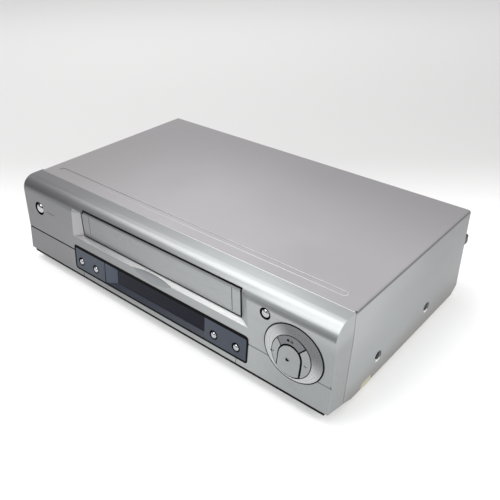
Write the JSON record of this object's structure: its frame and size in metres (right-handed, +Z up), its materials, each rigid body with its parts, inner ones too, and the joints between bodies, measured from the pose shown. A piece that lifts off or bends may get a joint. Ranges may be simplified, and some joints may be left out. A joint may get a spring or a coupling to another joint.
{
  "type": "video cassette recorder",
  "caption": "Silver video cassette recorder with a front-loading door, display panel, oval key dish, rear sockets and a tape mechanism under a folded cover.",
  "frame": {"origin": "centre of the footprint of the whole object on the surface that it stands on", "axes": "+X to the right seen from the front, +Y to the back with the sockets, +Z up; the front with the tape door faces -Y"},
  "size_m": [0.38, 0.236, 0.0924],
  "materials": {
    "silver_plastic": "silver lacquered moulding, satin",
    "silver_sheet": "silver grey lacquered sheet steel, fine texture",
    "panel_blue": "slate blue lacquer, satin",
    "dark_lens": "smoked acrylic, polished",
    "chrome_plate": "bright plated",
    "cream_plastic": "cream moulded frame",
    "black_plastic": "black moulding",
    "white_plastic": "natural acetal",
    "sheet_steel": "zinc plated",
    "polished_aluminium": "turned and polished",
    "yellow_brass": "turned",
    "board_green": "printed circuit board",
    "copper_coil": "taped winding on a laminated core",
    "black_rubber": "moulded rubber"
  },
  "bodies": {
    "housing": {"front_bezel": "silver_plastic", "flap_spring": "sheet_steel", "display_panel": "panel_blue", "display_window": "dark_lens", "control_dish": "silver_plastic", "top_cover": "silver_sheet", "left_screw_1": "sheet_steel", "left_screw_2": "sheet_steel", "right_screw_1": "sheet_steel", "right_screw_2": "sheet_steel", "left_front_foot": "black_rubber", "left_rear_foot": "black_rubber", "right_front_foot": "black_rubber", "right_rear_foot": "black_rubber", "left_loading_bracket": "sheet_steel", "right_loading_bracket": "sheet_steel", "chassis": "cream_plastic", "front_board": "board_green", "display_tube": "dark_lens", "main_board": "board_green", "power_transformer": "copper_coil", "heat_sink": "polished_aluminium", "mains_capacitor": "black_plastic", "rear_panel": "black_plastic", "aerial_block": "black_plastic", "scart_socket_1": "black_plastic", "scart_socket_2": "black_plastic", "audio_sockets": "black_plastic", "mains_inlet": "black_plastic", "deck_plate": "sheet_steel", "lower_drum": "polished_aluminium", "capstan_stator": "sheet_steel", "capstan_belt": "black_rubber", "loading_motor": "sheet_steel", "erase_head": "sheet_steel", "audio_head": "sheet_steel"},
    "tape_door": {"cassette_flap": "silver_plastic"},
    "power_key": {"power_button": "silver_plastic"},
    "eject_key": {"eject_button": "silver_plastic"},
    "play_key": {"play_button": "silver_plastic"},
    "stop_key": {"stop_button": "silver_plastic"},
    "rewind_key": {"rewind_button": "silver_plastic"},
    "forward_key": {"forward_button": "silver_plastic"},
    "channel_down_key": {"channel_down_button": "chrome_plate"},
    "channel_up_key": {"channel_up_button": "chrome_plate"},
    "monitor_key": {"monitor_button": "chrome_plate"},
    "record_key": {"record_button": "chrome_plate"},
    "carriage": {"carriage_frame": "sheet_steel"},
    "tray": {"cassette_tray": "sheet_steel"},
    "head_drum": {"upper_drum": "polished_aluminium"},
    "capstan": {"capstan_flywheel": "yellow_brass"},
    "clutch": {"clutch_pulley": "white_plastic"},
    "supply_reel": {"supply_reel_table": "white_plastic"},
    "takeup_reel": {"takeup_reel_table": "white_plastic"},
    "pinch_lever": {"pinch_arm": "sheet_steel"},
    "pinch_wheel": {"pinch_roller": "black_rubber"},
    "cam": {"cam_gear": "white_plastic"},
    "worm": {"loading_worm": "yellow_brass"},
    "left_guide": {"left_tape_guide": "yellow_brass"},
    "right_guide": {"right_tape_guide": "yellow_brass"}
  },
  "joints": [
    {"name": "tape_door_hinge", "type": "hinge", "parent": "housing", "child": "tape_door", "pos_m": [-0.0015, -0.10601, 0.0842], "axis": [1, 0, 0], "range_deg": [0, 90], "stiffness_Nm_per_rad": 0.01},
    {"name": "power_press", "type": "slide", "parent": "housing", "child": "power_key", "axis": [0, 0.9993, -0.0382], "range_m": [0, 0.001], "stiffness_N_per_m": 400},
    {"name": "eject_press", "type": "slide", "parent": "housing", "child": "eject_key", "axis": [0, 0.9993, -0.0382], "range_m": [0, 0.001], "stiffness_N_per_m": 400},
    {"name": "play_press", "type": "slide", "parent": "housing", "child": "play_key", "axis": [0, 0.9987, -0.0505], "range_m": [0, 0.001], "stiffness_N_per_m": 400},
    {"name": "stop_press", "type": "slide", "parent": "housing", "child": "stop_key", "axis": [0, 0.9987, -0.0505], "range_m": [0, 0.001], "stiffness_N_per_m": 400},
    {"name": "rewind_press", "type": "slide", "parent": "housing", "child": "rewind_key", "axis": [0, 0.9987, -0.0505], "range_m": [0, 0.001], "stiffness_N_per_m": 400},
    {"name": "forward_press", "type": "slide", "parent": "housing", "child": "forward_key", "axis": [0, 0.9987, -0.0505], "range_m": [0, 0.001], "stiffness_N_per_m": 400},
    {"name": "channel_down_press", "type": "slide", "parent": "housing", "child": "channel_down_key", "axis": [0, 0.9966, -0.0821], "range_m": [0, 0.001], "stiffness_N_per_m": 400},
    {"name": "channel_up_press", "type": "slide", "parent": "housing", "child": "channel_up_key", "axis": [0, 0.9966, -0.0821], "range_m": [0, 0.001], "stiffness_N_per_m": 400},
    {"name": "monitor_press", "type": "slide", "parent": "housing", "child": "monitor_key", "axis": [0, 0.9966, -0.0821], "range_m": [0, 0.001], "stiffness_N_per_m": 400},
    {"name": "record_press", "type": "slide", "parent": "housing", "child": "record_key", "axis": [0, 0.9966, -0.0821], "range_m": [0, 0.001], "stiffness_N_per_m": 400},
    {"name": "carriage_in", "type": "slide", "parent": "housing", "child": "carriage", "axis": [0, 1, 0], "range_m": [0, 0.04]},
    {"name": "tray_down", "type": "slide", "parent": "carriage", "child": "tray", "axis": [0, 0, -1], "range_m": [0, 0.02]},
    {"name": "head_drum_spin", "type": "hinge", "parent": "housing", "child": "head_drum", "pos_m": [-0.0015, 0.048, 0.0315], "axis": [0, -0.0872, 0.9962], "continuous": true},
    {"name": "capstan_spin", "type": "hinge", "parent": "housing", "child": "capstan", "pos_m": [0.066, 0.013, 0.025], "axis": [0, 0, 1], "continuous": true},
    {"name": "clutch_spin", "type": "hinge", "parent": "housing", "child": "clutch", "pos_m": [-0.0015, -0.02, 0.025], "axis": [0, 0, 1], "continuous": true},
    {"name": "supply_reel_spin", "type": "hinge", "parent": "housing", "child": "supply_reel", "pos_m": [-0.0475, -0.047, 0.035], "axis": [0, 0, 1], "continuous": true},
    {"name": "takeup_reel_spin", "type": "hinge", "parent": "housing", "child": "takeup_reel", "pos_m": [0.0445, -0.047, 0.035], "axis": [0, 0, 1], "continuous": true},
    {"name": "pinch_swing", "type": "hinge", "parent": "housing", "child": "pinch_lever", "pos_m": [0.088, 0.022, 0.033], "axis": [0, 0, -1], "range_deg": [0, 25]},
    {"name": "pinch_roller_spin", "type": "hinge", "parent": "pinch_lever", "child": "pinch_wheel", "pos_m": [0.0752, -0.00261, 0.04], "axis": [0, 0, 1], "continuous": true},
    {"name": "cam_turn", "type": "hinge", "parent": "housing", "child": "cam", "pos_m": [-0.07, 0.042, 0.041], "axis": [0, 0, 1], "range_deg": [0, 300]},
    {"name": "worm_turn", "type": "hinge", "parent": "housing", "child": "worm", "pos_m": [-0.0943, 0.042, 0.041], "axis": [0, 1, 0], "range_deg": [0, 3000]},
    {"name": "left_guide_run", "type": "slide", "parent": "housing", "child": "left_guide", "axis": [-0.2081, 0.9781, 0], "range_m": [0, 0.04806]},
    {"name": "right_guide_run", "type": "slide", "parent": "housing", "child": "right_guide", "axis": [0.2081, 0.9781, 0], "range_m": [0, 0.04806]}
  ],
  "couplings": [
    {"joint": "clutch_spin", "follows": "capstan_spin", "ratio": 0.64286},
    {"joint": "worm_turn", "follows": "cam_turn", "ratio": 10},
    {"joint": "pinch_swing", "follows": "cam_turn", "ratio": 0.08333},
    {"joint": "left_guide_run", "follows": "cam_turn", "m_per_rad": 0.009177},
    {"joint": "right_guide_run", "follows": "cam_turn", "m_per_rad": 0.009177}
  ]
}
